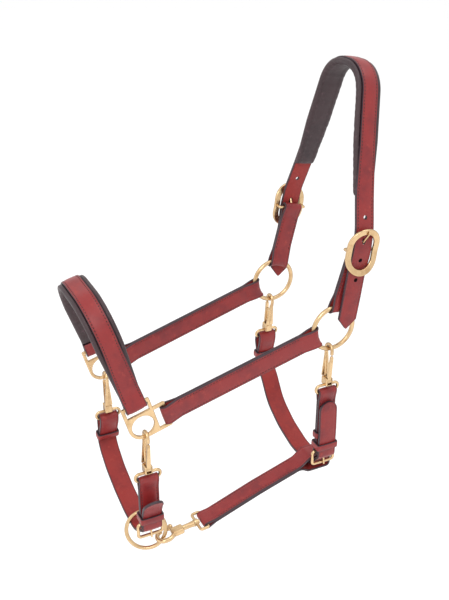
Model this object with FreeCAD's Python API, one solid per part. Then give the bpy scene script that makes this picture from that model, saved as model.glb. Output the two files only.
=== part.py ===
"""Leather headcollar with a padded headpiece and noseband and an under-jaw part that unclips.

Millimetres.  +X is the horse's left side, the nose faces -Y and +Z is up.
The pieces are laid out from the line through the centres of the two cheek rings, and the finished
solids are moved so that the origin is the poll seat: the underside of the headpiece at its top.
"""
import FreeCAD
import Part

import math
import os

V = FreeCAD.Vector
X_AXIS, Y_AXIS, Z_AXIS = V(1, 0, 0), V(0, 1, 0), V(0, 0, 1)

# ---------------------------------------------------------------- driving dimensions
STRAP_WIDTH = 25.0            # every strap is one inch wide
SINGLE = 3.4                  # one layer of strap leather
DOUBLE = 6.0                  # two thinner layers stitched together
LINING_WIDTH = 32.0           # padded linings stand out on both sides of their strap
LINING_THICKNESS = 6.0

RING_HALF_GAP = 75.0          # cheek rings, from the middle plane
RING_RADIUS = 27.5            # to the middle of the wire
RING_WIRE = 2.75              # radius of the wire

SQUARE_HALF_GAP = 71.2        # squares at the nose, from the middle plane
CHEEK_REACH = 254.9           # cheek ring centre to the square's hole centre
CHEEK_SLOPE = 15.8            # degrees, the nose end is lower
SQUARE_HOLE = 13.5            # radius of the round hole in a square
SQUARE_BAR = 4.0              # width and depth of its bars
SQUARE_ARM = 32.5             # from the hole's centre to the far side of a slot

NOSE_HEIGHT = 155.5           # square hole centre to the noseband strap's top, along the band
NOSE_TOP_HALF = 58.0
NOSE_BEND = 48.0
NOSE_LINING_START = 46.0      # where the lining ends above a square's hole centre

HEAD_LEAN = 8.5               # degrees that the headpiece leans back
HEAD_BACK = 11.4              # its plane passes this far behind the cheek ring line
HEAD_TOP = 302.5              # from there to the headpiece strap's top
HEAD_TOP_HALF = 34.5
HEAD_BEND = 38.0
HEAD_SIDE = (68.8, 162.0)     # half width and height where the lining ends
HEAD_TIP = 1.0                # height of the strap's pointed tips above the ring line
POINT_LENGTH = 12.0

BAR_HALF_WIDTH = 77.0         # headpiece buckle's bar, from the middle plane
BAR_HEIGHT = 100.0            # headpiece buckle's bar above the ring line
OVAL_WIDTH = 43.0
OVAL_LENGTH = 58.0
OVAL_BAND = 7.5
OVAL_DEPTH = 3.6
OVAL_DISH = 80.0              # radius to which the oval frame is curved
BAR_RADIUS = 2.0              # buckle bars
TONGUE_RADIUS = 1.4
PUNCH_RADIUS = 2.3            # holes punched in the straps
PUNCH_PITCH = 25.0

SNAP_REACH = 61.0             # gripped wire's centre to the lower bar of a snap's eye
SNAP_WIRE = 2.1
SNAP_HOOK = 6.6               # radius of the hook, to the middle of its wire
SNAP_EYE_WIDTH = 31.0         # eye of a snap, to the middle of its wire
SNAP_EYE_HEIGHT = 10.0
SNAP_DEPTH = 11.0             # base of a snap, across the eye's plane
SNAP_WALL = 1.9               # its walls on both sides of the gate
GATE_WIDTH = 5.4
EYE_WIRE = 1.9

BUCKLE_HEIGHT = 19.0          # strap buckles, heel bar to front bar
BUCKLE_WIDTH = 31.0           # strap buckles, to the middle of the side bars
KEEPER_LENGTH = 9.0
KEEPER_LEATHER = 1.8
FOLD_KEEPER = 5.5             # far keepers sit this far below the fold's corner

THROAT_Y = -3.5               # plane of the throat strap
THROAT_HEEL = -177.0          # heel bar of the throat buckle
THROAT_TAIL_TOP = -101.0
THROAT_SNAP_LEAN = 9.0        # degrees that the far throat snap leans outwards
CHIN_BACK = 2.8               # plane of the chin strap, behind the squares' holes
CHIN_HEEL_DROP = 140.6        # heel bar of the chin buckle, below the squares' holes
CHIN_TAIL = 45.0              # the free end stands this far above the heel bar
CHIN_CURL = 14.0              # the free end stands out by this much

JAW_HALF_GAP = 54.0           # the jaw strap runs on the near side
LEAD_RADIUS = 24.5            # lead ring, to the middle of its wire
LEAD_WIRE = 2.5
LEAD_CENTRE = (6.87, -176.2)  # behind and above the squares' holes
LEAD_YAW = 20.4               # degrees that the lead ring is turned about Z
LEAD_TILT = 17.6
LEAD_HOOKED = 25.0            # degrees below its rearmost point where the jaw snap holds it
JAW_SNAP_LENGTH = 55.0        # hook's centre to the bar of the swivel eye
JAW_SNAP_RISE = 6.6           # the eye is this much higher than the hook
JAW_HOOK = 8.8                # radius of the hook, to the middle of its wire
JAW_WIRE = 2.9
JAW_LOOP = 20.0               # height of the jaw strap's loop round the throat strap

FIT = 0.25                    # leather or brass on its own pin or bar
CLEAR = 0.4                   # between pieces that move past each other

# ---------------------------------------------------------------- worked out from them
SLOPE = math.radians(CHEEK_SLOPE)
CHEEK_DIR = V(0, math.cos(SLOPE), math.sin(SLOPE))
BAND_DIR = V(0, -math.sin(SLOPE), math.cos(SLOPE))
HOLE_Y = -CHEEK_REACH * math.cos(SLOPE)
HOLE_Z = -CHEEK_REACH * math.sin(SLOPE)
LEAN = math.radians(HEAD_LEAN)
HEAD_DIR = V(0, math.sin(LEAN), math.cos(LEAN))
CHIN_HEEL = HOLE_Z - CHIN_HEEL_DROP
CHIN_TAIL_TOP = CHIN_HEEL + CHIN_TAIL
FOLD = SQUARE_ARM - SQUARE_BAR / 2
SQUARE_OUTER = SQUARE_HOLE + SQUARE_BAR
HOOKED = SQUARE_HOLE + SQUARE_BAR / 2
HEAD_FOOT = V(0, HEAD_BACK, 0)
POLL = HEAD_FOOT + HEAD_DIR * (HEAD_TOP - SINGLE / 2 - LINING_THICKNESS)

parts = {}


# ---------------------------------------------------------------- building blocks
def frame(origin, along, across):
    """Placement whose local x is along, y is across and z is their cross product."""
    x = V(along).normalize()
    z = x.cross(V(across)).normalize()
    y = z.cross(x)
    m = FreeCAD.Matrix(x.x, y.x, z.x, origin.x, x.y, y.y, z.y, origin.y, x.z, y.z, z.z, origin.z, 0, 0, 0, 1)
    return FreeCAD.Placement(m)


def placed(shape, place):
    """A copy of the shape moved from its local frame to the placement."""
    return shape.transformed(place.toMatrix(), True)


def mirrored(shape):
    """The same piece on the other side of the middle plane."""
    return shape.mirror(V(0, 0, 0), X_AXIS)


def fused(shapes):
    """One solid from several that overlap."""
    result = shapes[0].fuse(shapes[1:]) if len(shapes) > 1 else shapes[0]
    return result.removeSplitter().Solids[0]


def box(low, high):
    """A block between two corners."""
    return Part.makeBox(high[0] - low[0], high[1] - low[1], high[2] - low[2], V(*low))


def rod(start, end, radius):
    """A round bar between two points."""
    return Part.makeCylinder(radius, (end - start).Length, start, end - start)


def ball(centre, radius):
    return Part.makeSphere(radius, centre)


def runs(points, radii, shift=0.0):
    """Edges in the XY plane of straight runs joined by tangent arcs, all moved sideways by shift."""
    pts = [V(x, y, 0) for x, y in points]
    dirs = [(b - a).normalize() for a, b in zip(pts, pts[1:])]
    sides = [V(-d.y, d.x, 0) for d in dirs]
    start = pts[0] + sides[0] * shift
    edges = []
    for i in range(1, len(pts) - 1):
        turn = math.atan2(dirs[i - 1].cross(dirs[i]).z, dirs[i - 1].dot(dirs[i]))
        radius = radii[i - 1]
        reach = radius * math.tan(abs(turn) / 2)
        sign = math.copysign(1.0, turn)
        enter = pts[i] - dirs[i - 1] * reach
        leave = pts[i] + dirs[i] * reach
        centre = enter + sides[i - 1] * (sign * radius)
        bent = radius - sign * shift
        first = centre + (enter - centre).normalize() * bent
        last = centre + (leave - centre).normalize() * bent
        middle = centre + (pts[i] - centre).normalize() * bent
        if (first - start).Length > 1e-6:
            edges.append(Part.LineSegment(start, first).toShape())
        edges.append(Part.Arc(first, middle, last).toShape())
        start = last
    edges.append(Part.LineSegment(start, pts[-1] + sides[-1] * shift).toShape())
    return edges


def ribbon(points, radii, low, high, width, place):
    """A strap that follows a flat route: its section runs from low to high beside the route."""
    near, far = runs(points, radii, low), runs(points, radii, high)
    caps = []
    for a, b in ((near[0].Vertexes[0], far[0].Vertexes[0]), (near[-1].Vertexes[-1], far[-1].Vertexes[-1])):
        caps.append(Part.LineSegment(a.Point, b.Point).toShape())
    outline = Part.Wire(Part.__sortEdges__(near + far + caps))
    solid = Part.Face(outline).extrude(V(0, 0, width))
    solid.translate(V(0, 0, -width / 2))
    return placed(solid, place)


def bent_wire(points, radii, radius, place):
    """A round wire along a flat open route."""
    route = Part.Wire(runs(points, radii))
    start = V(*points[0], 0)
    ahead = V(points[1][0] - points[0][0], points[1][1] - points[0][1], 0)
    section = Part.Wire(Part.makeCircle(radius, start, ahead))
    return placed(route.makePipeShell([section], True, False), place)


def wire_loop(width, height, corner, radius, place):
    """A closed loop of round wire, width along local x and height along local y."""
    w, h = width / 2, height / 2
    half = [(0, -h), (w, -h), (w, h), (0, h)]
    side = bent_wire(half, [corner, corner], radius, FreeCAD.Placement())
    other = side.mirror(V(0, 0, 0), X_AXIS)
    return placed(fused([side, other]), place)


def folded_strap(length, thickness, place, eyes, tongue_slot=None):
    """A doubled strap along local x, folded round a bar at each end.

    Each eye is (hole radius, stretch): the hole is a slot that runs outwards by stretch.
    """
    half = STRAP_WIDTH / 2
    body = box((0, -thickness / 2, -half), (length, thickness / 2, half))
    holes = []
    for at, outward, (hole, stretch) in ((0.0, -1, eyes[0]), (length, 1, eyes[1])):
        outer = hole + thickness / 2
        end = at + outward * stretch
        taper = at - outward * 3.2 * outer
        shape = [(taper, thickness / 2), (at, outer), (end, outer), (end, -outer), (at, -outer),
                 (taper, -thickness / 2)]
        face = Part.Face(Part.makePolygon([V(x, y, -half) for x, y in shape + shape[:1]]))
        body = body.fuse([face.extrude(V(0, 0, STRAP_WIDTH)),
                          Part.makeCylinder(outer, STRAP_WIDTH, V(end, 0, -half))])
        holes.append(Part.makeCylinder(hole, STRAP_WIDTH, V(at, 0, -half)))
        if stretch:
            holes.append(Part.makeCylinder(hole, STRAP_WIDTH, V(end, 0, -half)))
            holes.append(box((min(at, end), -hole, -half), (max(at, end), hole, half)))
    if tongue_slot:
        at = length
        reach = eyes[1][0] + thickness
        holes.append(box((at - reach, -reach, -tongue_slot / 2), (at + 2 * reach, reach, tongue_slot / 2)))
    return placed(fused([body.removeSplitter()]).cut(holes).removeSplitter().Solids[0], place)


# ---------------------------------------------------------------- rings and squares
def cheek_ring():
    return Part.makeTorus(RING_RADIUS, RING_WIRE, V(RING_HALF_GAP, 0, 0), X_AXIS)


def square():
    """Cast square: a round hole with a strap slot above it and another behind it."""
    half = SQUARE_BAR / 2
    disc = Part.makeCylinder(SQUARE_OUTER, SQUARE_BAR, V(0, 0, -half))
    low, arm = -SQUARE_OUTER, SQUARE_ARM
    upright = box((low, 0, -half), (SQUARE_OUTER, arm, half))
    rear = box((0, low, -half), (arm, SQUARE_OUTER, half))
    bar = SQUARE_BAR
    inner = arm - bar
    upper_slot = box((low + bar, SQUARE_OUTER, -bar), (SQUARE_HOLE, inner, bar))
    rear_slot = box((SQUARE_OUTER, low + bar, -bar), (inner, SQUARE_HOLE, bar))
    plate = fused([disc, upright, rear])
    edges = [e for e in plate.Edges if abs(e.tangentAt(e.FirstParameter).z) > 0.99]
    corners = [e for e in edges if (e.CenterOfMass.x > arm - 1 or e.CenterOfMass.y > arm - 1)]
    plate = plate.makeFillet(1.9, corners)
    plate = plate.cut([upper_slot, rear_slot, Part.makeCylinder(SQUARE_HOLE, 2 * bar, V(0, 0, -bar))])
    rims = [e for e in plate.Edges if abs(abs(e.CenterOfMass.z) - half) < 1e-6]
    plate = plate.makeFillet(1.1, rims)
    origin = V(SQUARE_HALF_GAP, HOLE_Y, HOLE_Z)
    return placed(plate, frame(origin, CHEEK_DIR, BAND_DIR))


def cheek_strap():
    """Doubled strap from the square's rear slot to the cheek ring."""
    start = V(SQUARE_HALF_GAP, HOLE_Y, HOLE_Z) + CHEEK_DIR * FOLD
    end = V(RING_HALF_GAP, 0, 0) - CHEEK_DIR * RING_RADIUS
    sag = RING_RADIUS - math.sqrt(RING_RADIUS ** 2 - (STRAP_WIDTH / 2) ** 2)
    place = frame(start, end - start, BAND_DIR.cross(CHEEK_DIR))
    eyes = ((SQUARE_BAR * 0.71 + FIT, 0), (RING_WIRE + CLEAR, sag))
    return folded_strap((end - start).Length, DOUBLE, place, eyes)


# ---------------------------------------------------------------- noseband
def noseband():
    """The outer strap, folded round both squares' upper bars, and the padded lining inside it."""
    place = frame(V(0, HOLE_Y, HOLE_Z), X_AXIS, BAND_DIR)
    side = [(SQUARE_HALF_GAP, FOLD), (NOSE_TOP_HALF, NOSE_HEIGHT)]
    route = side + [(-x, y) for x, y in reversed(side)]
    bends = [NOSE_BEND, NOSE_BEND]
    strap = ribbon(route, bends, -SINGLE / 2, SINGLE / 2, STRAP_WIDTH, place)
    hole = SQUARE_BAR * 0.71 + FIT
    eyes, holes = [], []
    for x in (-SQUARE_HALF_GAP, SQUARE_HALF_GAP):
        low = V(x, FOLD, -STRAP_WIDTH / 2)
        eyes.append(placed(Part.makeCylinder(hole + SINGLE * 0.8, STRAP_WIDTH, low), place))
        holes.append(placed(Part.makeCylinder(hole, STRAP_WIDTH, low), place))
    parts["noseband_strap"] = fused([strap] + eyes).cut(holes).Solids[0]
    share = (NOSE_LINING_START - FOLD) / (NOSE_HEIGHT - FOLD)
    start = SQUARE_HALF_GAP + (NOSE_TOP_HALF - SQUARE_HALF_GAP) * share
    inner = [(start, NOSE_LINING_START)] + side[1:]
    lined = inner + [(-x, y) for x, y in reversed(inner)]
    parts["noseband_lining"] = ribbon(lined, bends, SINGLE / 2, SINGLE / 2 + LINING_THICKNESS,
                                      LINING_WIDTH, place)


# ---------------------------------------------------------------- headpiece
HEAD_PLACE = frame(HEAD_FOOT, X_AXIS, HEAD_DIR)
CHAPE_EYE = BAR_RADIUS + FIT + DOUBLE / 2
STRAP_OVER_BAR = BAR_HALF_WIDTH + CHAPE_EYE + 2 * CLEAR + SINGLE / 2
RING_EYE = RING_WIRE + CLEAR + DOUBLE / 2
TAIL_HALF = RING_HALF_GAP + RING_EYE + CLEAR + SINGLE / 2
OVAL_END = OVAL_LENGTH / 2 - OVAL_BAND / 2
UNDER_FRAME = STRAP_OVER_BAR - 2.4
FRAME_END_HALF = UNDER_FRAME + SINGLE / 2 + 5.5 * CLEAR + OVAL_DEPTH / 2 + OVAL_BAND / 2 * OVAL_END / OVAL_DISH


def head_route():
    """Half of the headpiece strap's route, from its tip to the corner at the top."""
    return [(TAIL_HALF, HEAD_TIP), (TAIL_HALF, 40.0), (UNDER_FRAME, BAR_HEIGHT - OVAL_END),
            (STRAP_OVER_BAR, BAR_HEIGHT), (UNDER_FRAME - 1.0, BAR_HEIGHT + OVAL_END),
            HEAD_SIDE, (HEAD_TOP_HALF, HEAD_TOP)]


HEAD_BENDS = [150.0, 90.0, 60.0, 60.0, 160.0, HEAD_BEND]


def tongue_line():
    """Start and end of a headpiece buckle's tongue, as half width and height."""
    tip = (FRAME_END_HALF + OVAL_DEPTH / 2 + CLEAR + TONGUE_RADIUS, BAR_HEIGHT + OVAL_END - 1.0)
    return (BAR_HALF_WIDTH, BAR_HEIGHT), tip


def headpiece():
    """The long outer strap with a pointed tip at each end, and the padded lining inside its arch."""
    half = head_route()
    route = half + [(-x, y) for x, y in reversed(half)]
    bends = HEAD_BENDS + HEAD_BENDS[::-1]
    strap = ribbon(route, bends, -SINGLE / 2, SINGLE / 2, STRAP_WIDTH, HEAD_PLACE)
    cuts = []
    start, tip = tongue_line()
    for side in (-1, 1):
        for flank in (-1, 1):
            corner = [V(side * TAIL_HALF - 9, HEAD_TIP - 1, flank * 0.8),
                      V(side * TAIL_HALF - 9, HEAD_TIP - 1, flank * 20),
                      V(side * TAIL_HALF - 9, HEAD_TIP + POINT_LENGTH, flank * STRAP_WIDTH / 2 + flank * 0.01),
                      V(side * TAIL_HALF - 9, HEAD_TIP - 1, flank * 0.8)]
            cuts.append(placed(Part.Face(Part.makePolygon(corner)).extrude(V(18, 0, 0)), HEAD_PLACE))
        a, b = V(side * start[0], start[1], 0), V(side * tip[0], tip[1], 0)
        cuts.append(placed(rod(a, a + (b - a) * 1.2, PUNCH_RADIUS), HEAD_PLACE))
        for step in (-2, -1, 1):
            y = BAR_HEIGHT + 14.0 + step * PUNCH_PITCH
            low, high = V(side * (STRAP_OVER_BAR - 12), y, 0), V(side * (STRAP_OVER_BAR + 8), y, 0)
            cuts.append(placed(rod(low, high, PUNCH_RADIUS), HEAD_PLACE))
    parts["headpiece_strap"] = strap.cut(cuts).Solids[0]
    inner = [HEAD_SIDE, (HEAD_TOP_HALF, HEAD_TOP)]
    lined = inner + [(-x, y) for x, y in reversed(inner)]
    parts["headpiece_lining"] = ribbon(lined, [HEAD_BEND, HEAD_BEND], SINGLE / 2,
                                       SINGLE / 2 + LINING_THICKNESS, LINING_WIDTH, HEAD_PLACE)


def stadium(width, length, depth):
    """A prism with half-round ends, long along y and centred on the origin."""
    r = width / 2
    y = length / 2 - r
    a, b, c, d = V(r, -y, 0), V(r, y, 0), V(-r, y, 0), V(-r, -y, 0)
    edges = [Part.LineSegment(a, b), Part.Arc(b, V(0, y + r, 0), c), Part.LineSegment(c, d),
             Part.Arc(d, V(0, -y - r, 0), a)]
    face = Part.Face(Part.Wire([e.toShape() for e in edges]))
    solid = face.extrude(V(0, 0, depth))
    solid.translate(V(0, 0, -depth / 2))
    return solid


def oval_buckle():
    """Dished oval frame with a bar across its middle: local x across, y along, z outwards."""
    deep = 40.0
    band = stadium(OVAL_WIDTH, OVAL_LENGTH, deep).cut(
        stadium(OVAL_WIDTH - 2 * OVAL_BAND, OVAL_LENGTH - 2 * OVAL_BAND, deep))
    rise = OVAL_DISH - math.sqrt(OVAL_DISH ** 2 - OVAL_END ** 2)
    centre = FRAME_END_HALF - rise + OVAL_DISH
    axis_start = V(-OVAL_WIDTH, 0, centre)
    shell = Part.makeCylinder(OVAL_DISH + OVAL_DEPTH / 2, 2 * OVAL_WIDTH, axis_start, X_AXIS).cut(
        Part.makeCylinder(OVAL_DISH - OVAL_DEPTH / 2, 2 * OVAL_WIDTH, axis_start, X_AXIS))
    band.translate(V(0, 0, FRAME_END_HALF))
    lower = box((-OVAL_WIDTH, -OVAL_LENGTH, centre - OVAL_DISH - deep),
                (OVAL_WIDTH, OVAL_LENGTH, centre - OVAL_DISH / 2))
    dished = band.common(shell).common(lower).Solids[0]
    dished = dished.makeFillet(1.3, dished.Edges)
    side = OVAL_WIDTH / 2 - OVAL_BAND / 2
    middle = centre - OVAL_DISH
    bar = rod(V(-side, 0, BAR_HALF_WIDTH), V(side, 0, BAR_HALF_WIDTH), BAR_RADIUS)
    posts = []
    for x in (-side, side):
        posts.append(rod(V(x, 0, BAR_HALF_WIDTH), V(x, 0, middle), BAR_RADIUS))
        posts.append(ball(V(x, 0, BAR_HALF_WIDTH), BAR_RADIUS))
    place = frame(HEAD_FOOT + HEAD_DIR * BAR_HEIGHT, HEAD_DIR.cross(X_AXIS), HEAD_DIR)
    return placed(fused([dished, bar] + posts), place)


def tongue(pivot, tip, place):
    """A buckle tongue in local XY: a ring round the bar, and a pin that tapers to its tip."""
    bore = BAR_RADIUS + FIT
    collar = Part.makeCylinder(bore + 1.5, 3.6, V(*pivot, -1.8))
    a, b = V(*pivot, 0), V(*tip, 0)
    along = (b - a).normalize()
    start = a + along * (bore + 0.6)
    cone = Part.makeCone(TONGUE_RADIUS, TONGUE_RADIUS * 0.8, (b - start).Length, start, along)
    pin = fused([collar, cone, ball(b, TONGUE_RADIUS * 0.8)])
    pin = pin.cut(Part.makeCylinder(bore, 5, V(*pivot, -2.5))).Solids[0]
    return placed(pin, place)


def buckle_chape():
    """Doubled leather from the cheek ring up to the headpiece buckle's bar."""
    bar = HEAD_FOOT + HEAD_DIR * BAR_HEIGHT + V(BAR_HALF_WIDTH, 0, 0)
    upward = V(0, bar.y, bar.z).normalize()
    start = V(RING_HALF_GAP, 0, 0) + upward * RING_RADIUS
    skew = math.sin(upward.getAngle(HEAD_DIR)) * STRAP_WIDTH
    end = bar - upward * (skew / 2)
    place = frame(start, end - start, X_AXIS)
    sag = RING_RADIUS - math.sqrt(RING_RADIUS ** 2 - (STRAP_WIDTH / 2) ** 2)
    eyes = ((RING_WIRE + CLEAR, sag), (BAR_RADIUS + FIT, skew))
    return folded_strap((end - start).Length, DOUBLE, place, eyes, tongue_slot=5.0)


# ---------------------------------------------------------------- scissor snaps
SNAP_PIN = 1.3
SNAP_PIVOT = V(SNAP_DEPTH / 2 - 2 * SNAP_PIN, 0, -SNAP_REACH + SNAP_EYE_HEIGHT + SNAP_DEPTH / 2)


def scissor_snap(place):
    """Body, gate, pin and spring.  Local x points outwards, y along the gripped wire, z up."""
    flat = FreeCAD.Placement(V(0, 0, 0), FreeCAD.Rotation(X_AXIS, 90))
    pivot = SNAP_PIVOT
    base_low = pivot.z - SNAP_DEPTH / 2 - 0.5
    base_high = base_low + SNAP_DEPTH
    half_depth, half_wide = SNAP_DEPTH / 2, GATE_WIDTH / 2 + CLEAR + SNAP_WALL
    hook_z = -(SNAP_HOOK - SNAP_WIRE - RING_WIRE - CLEAR)
    top = hook_z + SNAP_HOOK
    route = [(-SNAP_HOOK + SNAP_WIRE, base_high), (-SNAP_HOOK, hook_z - SNAP_WIRE), (-SNAP_HOOK, top),
             (SNAP_HOOK, top), (SNAP_HOOK, hook_z - 3.5)]
    hook = bent_wire(route, [60.0, SNAP_HOOK * 0.999, SNAP_HOOK * 0.999], SNAP_WIRE, flat)
    tip = V(SNAP_HOOK, 0, hook_z - 3.5)
    fin = [V(-SNAP_HOOK, y, z) for y, z in ((-SNAP_WIRE, hook_z - 6), (SNAP_WIRE, hook_z - 6),
                                           (half_wide, base_high + 1), (-half_wide, base_high + 1))]
    fin = Part.Face(Part.makePolygon(fin + fin[:1])).extrude(V(SNAP_WIRE, 0, 0))
    base = box((-SNAP_HOOK, -half_wide, base_low), (half_depth, half_wide, base_high))
    base = base.makeFillet(1.7, base.Edges)
    slot_half = GATE_WIDTH / 2 + CLEAR
    slot = box((-SNAP_WIRE, -slot_half, base_low + 1.8), (SNAP_DEPTH, slot_half, base_high + 2))
    eye = wire_loop(SNAP_EYE_WIDTH, SNAP_EYE_HEIGHT, SNAP_EYE_HEIGHT / 2 - 0.05, EYE_WIRE,
                    frame(V(0, 0, -SNAP_REACH + SNAP_EYE_HEIGHT / 2), Y_AXIS, Z_AXIS))
    body = fused([hook, ball(tip, SNAP_WIRE), fin, base, eye])
    out = V(0, half_wide, 0)
    body = body.cut([slot, rod(pivot - out * 1.2, pivot + out * 1.2, SNAP_PIN)]).Solids[0]
    pin = rod(pivot - out, pivot + out, SNAP_PIN)
    gate_tip = V(SNAP_HOOK, 0, tip.z - 2 * SNAP_WIRE - 0.7)
    lever = frame(pivot, gate_tip - pivot, Y_AXIS)
    length, half_gate = (gate_tip - pivot).Length, GATE_WIDTH / 2
    plate = [(0, -half_gate), (SNAP_DEPTH / 2, -half_gate), (length, -1.7), (length, 1.7),
             (SNAP_DEPTH / 2, half_gate), (0, half_gate)]
    plate = Part.Face(Part.makePolygon([V(x, y, -1.5) for x, y in plate + plate[:1]])).extrude(V(0, 0, 3.0))
    thumb = Part.makeCylinder(1.6, GATE_WIDTH - 1.4, V(length - 10.0, 0.7 - half_gate, 1.6), Y_AXIS)
    hub = Part.makeCylinder(2 * SNAP_PIN, GATE_WIDTH, V(pivot.x, -half_gate, pivot.z), Y_AXIS)
    gate = fused([placed(fused([plate, thumb]), lever), ball(gate_tip, 1.9), hub])
    gate = gate.cut(rod(pivot - out, pivot + out, SNAP_PIN + 0.08)).Solids[0]
    spring = box((-SNAP_WIRE, -1.8, base_low + 2.2), (-SNAP_WIRE + 0.5, 1.8, base_high - 1))
    return {"": placed(body, place), "_gate": placed(gate, place), "_pin": placed(pin, place),
            "_spring": placed(spring, place)}


# ---------------------------------------------------------------- chin and throat
def xz_plane(y):
    """Local x is X and local y is Z, so a ribbon's width runs along Y."""
    return frame(V(0, y, 0), X_AXIS, Z_AXIS)


def strap_buckle(half_gap, y, heel):
    """Rectangular wire frame hanging from its heel bar."""
    centre = V(half_gap, y, heel - BUCKLE_HEIGHT / 2)
    return wire_loop(BUCKLE_WIDTH, BUCKLE_HEIGHT, 3.5, BAR_RADIUS, frame(centre, Y_AXIS, Z_AXIS))


def keeper(centre, along, across, thickness):
    """A leather loop round straps of the given total thickness, along being their direction."""
    inner_w, inner_t = STRAP_WIDTH + 2 * CLEAR, thickness + 2 * CLEAR
    outer_w, outer_t = inner_w + 2 * KEEPER_LEATHER, inner_t + 2 * KEEPER_LEATHER
    block = box((-KEEPER_LENGTH / 2, -outer_t / 2, -outer_w / 2), (KEEPER_LENGTH / 2, outer_t / 2, outer_w / 2))
    block = block.makeFillet(1.2, [e for e in block.Edges if abs(e.tangentAt(0).x) > 0.9])
    hole = box((-KEEPER_LENGTH, -inner_t / 2, -inner_w / 2), (KEEPER_LENGTH, inner_t / 2, inner_w / 2))
    return placed(block.cut(hole), frame(centre, along, across))


def tongue_tip(half_gap, heel):
    return (half_gap + BAR_RADIUS + CLEAR + TONGUE_RADIUS, heel - BUCKLE_HEIGHT - 1.0)


def near_chape(half_gap, y, eye_z, heel):
    """Doubled leather from the near snap's eye down to the buckle's heel bar."""
    start = V(half_gap, y, eye_z)
    place = frame(start, V(0, 0, -1), X_AXIS)
    eyes = ((EYE_WIRE + FIT, 0), (BAR_RADIUS + FIT, 0))
    return folded_strap(eye_z - heel, DOUBLE, place, eyes, tongue_slot=5.0)


def tail_half(half_gap):
    """Middle of the strap where it lies on the chape."""
    return half_gap + DOUBLE / 2 + CLEAR + SINGLE / 2


def over_heel(half_gap):
    return half_gap + CHAPE_EYE + CLEAR + SINGLE / 2


def punched(strap, half_gap, y, heel):
    """Cuts the hole that the tongue passes through."""
    a = V(half_gap, y, heel)
    tip = tongue_tip(half_gap, heel)
    b = V(tip[0], y, tip[1])
    return strap.cut(rod(a, a + (b - a) * 1.1, PUNCH_RADIUS)).Solids[0]


def far_fold(bar, keeper_at):
    """Route of the far end: its end, up inside, round the bar and down outside past the keeper."""
    gap = SINGLE / 2 + FIT / 2
    up = V(bar[0] - keeper_at[0], bar[1] - keeper_at[1], 0).normalize()
    side = V(-up.y, up.x, 0)
    wrap = EYE_WIRE + FIT + SINGLE / 2
    k = V(keeper_at[0], keeper_at[1], 0)
    b = V(bar[0], bar[1], 0)
    points = [k - side * gap - up * 9, k - side * gap, b - side * (wrap * 1.3) - up * 6,
              b - side * wrap + up * wrap, b + side * wrap + up * wrap, b + side * (wrap * 1.9) - up * 9,
              k + side * gap, k + side * gap - up * 16]
    return [(p.x, p.y) for p in points], [20.0, 30.0, wrap * 0.98, wrap * 0.98, 12.0, 20.0, 15.0]


def throat():
    """Throat strap, its near chape with buckle, and the snaps that hang it from the cheek rings."""
    y = THROAT_Y
    grip = -math.sqrt(RING_RADIUS ** 2 - y ** 2)
    eye_z = grip - SNAP_REACH
    near = frame(V(RING_HALF_GAP, y, grip), X_AXIS, Y_AXIS)
    lean = math.radians(THROAT_SNAP_LEAN)
    out = V(-math.cos(lean), 0, math.sin(lean))
    far = frame(V(-RING_HALF_GAP, y, grip), out, V(0, -1, 0))
    for side, place in (("left", near), ("right", far)):
        for suffix, shape in scissor_snap(place).items():
            parts[side + "_throat_snap" + suffix] = shape
    parts["throat_chape"] = near_chape(RING_HALF_GAP, y, eye_z, THROAT_HEEL)
    parts["throat_buckle"] = strap_buckle(RING_HALF_GAP, y, THROAT_HEEL)
    parts["throat_buckle_tongue"] = tongue((RING_HALF_GAP, THROAT_HEEL), tongue_tip(RING_HALF_GAP, THROAT_HEEL),
                                           xz_plane(y))
    bar = (-RING_HALF_GAP - SNAP_REACH * math.sin(lean), grip - SNAP_REACH * math.cos(lean))
    keeper_at = (bar[0] - 2.5, bar[1] - 24.0)
    fold, bends = far_fold(bar, keeper_at)
    heel_x = over_heel(RING_HALF_GAP)
    low = THROAT_HEEL - 15.5
    route = fold + [(-71.0, -150.0), (-52.0, -178.0), (-20.0, -196.5), (15.0, -207.0), (56.0, -208.0),
                    (67.8, low - 4.8),
                    (heel_x, THROAT_HEEL - 4.5), (heel_x, THROAT_HEEL + 36.0),
                    (tail_half(RING_HALF_GAP) + CLEAR, THROAT_TAIL_TOP)]
    bends = bends + [60.0, 60.0, 80.0, 60.0, 20.0, 8.0, 6.0, 60.0]
    strap = ribbon(route, bends, -SINGLE / 2, SINGLE / 2, STRAP_WIDTH, xz_plane(y))
    parts["throat_strap"] = rounded_tip(punched(strap, RING_HALF_GAP, y, THROAT_HEEL), y,
                                        tail_half(RING_HALF_GAP), THROAT_TAIL_TOP)
    parts["throat_keeper"] = heel_keeper(RING_HALF_GAP, y, THROAT_HEEL)
    parts["throat_loose_keeper"] = keeper(V(RING_HALF_GAP, y, THROAT_HEEL + 27.0), Z_AXIS, X_AXIS, DOUBLE)
    up = V(bar[0] - keeper_at[0], 0, bar[1] - keeper_at[1])
    up.normalize()
    parts["throat_strap_keeper"] = keeper(V(keeper_at[0], y, keeper_at[1]) - up * FOLD_KEEPER, up,
                                          up.cross(Y_AXIS), 2 * (SINGLE + FIT))


def heel_keeper(half_gap, y, heel):
    """The keeper round the chape and the strap's free end, just above the buckle's heel bar."""
    flare = 0.8 * (CHAPE_EYE - DOUBLE / 2)
    inner, outer = half_gap - DOUBLE / 2 - flare, over_heel(half_gap) + SINGLE / 2
    return keeper(V((inner + outer) / 2, y, heel + 11.0), Z_AXIS, X_AXIS, outer - inner)


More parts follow.
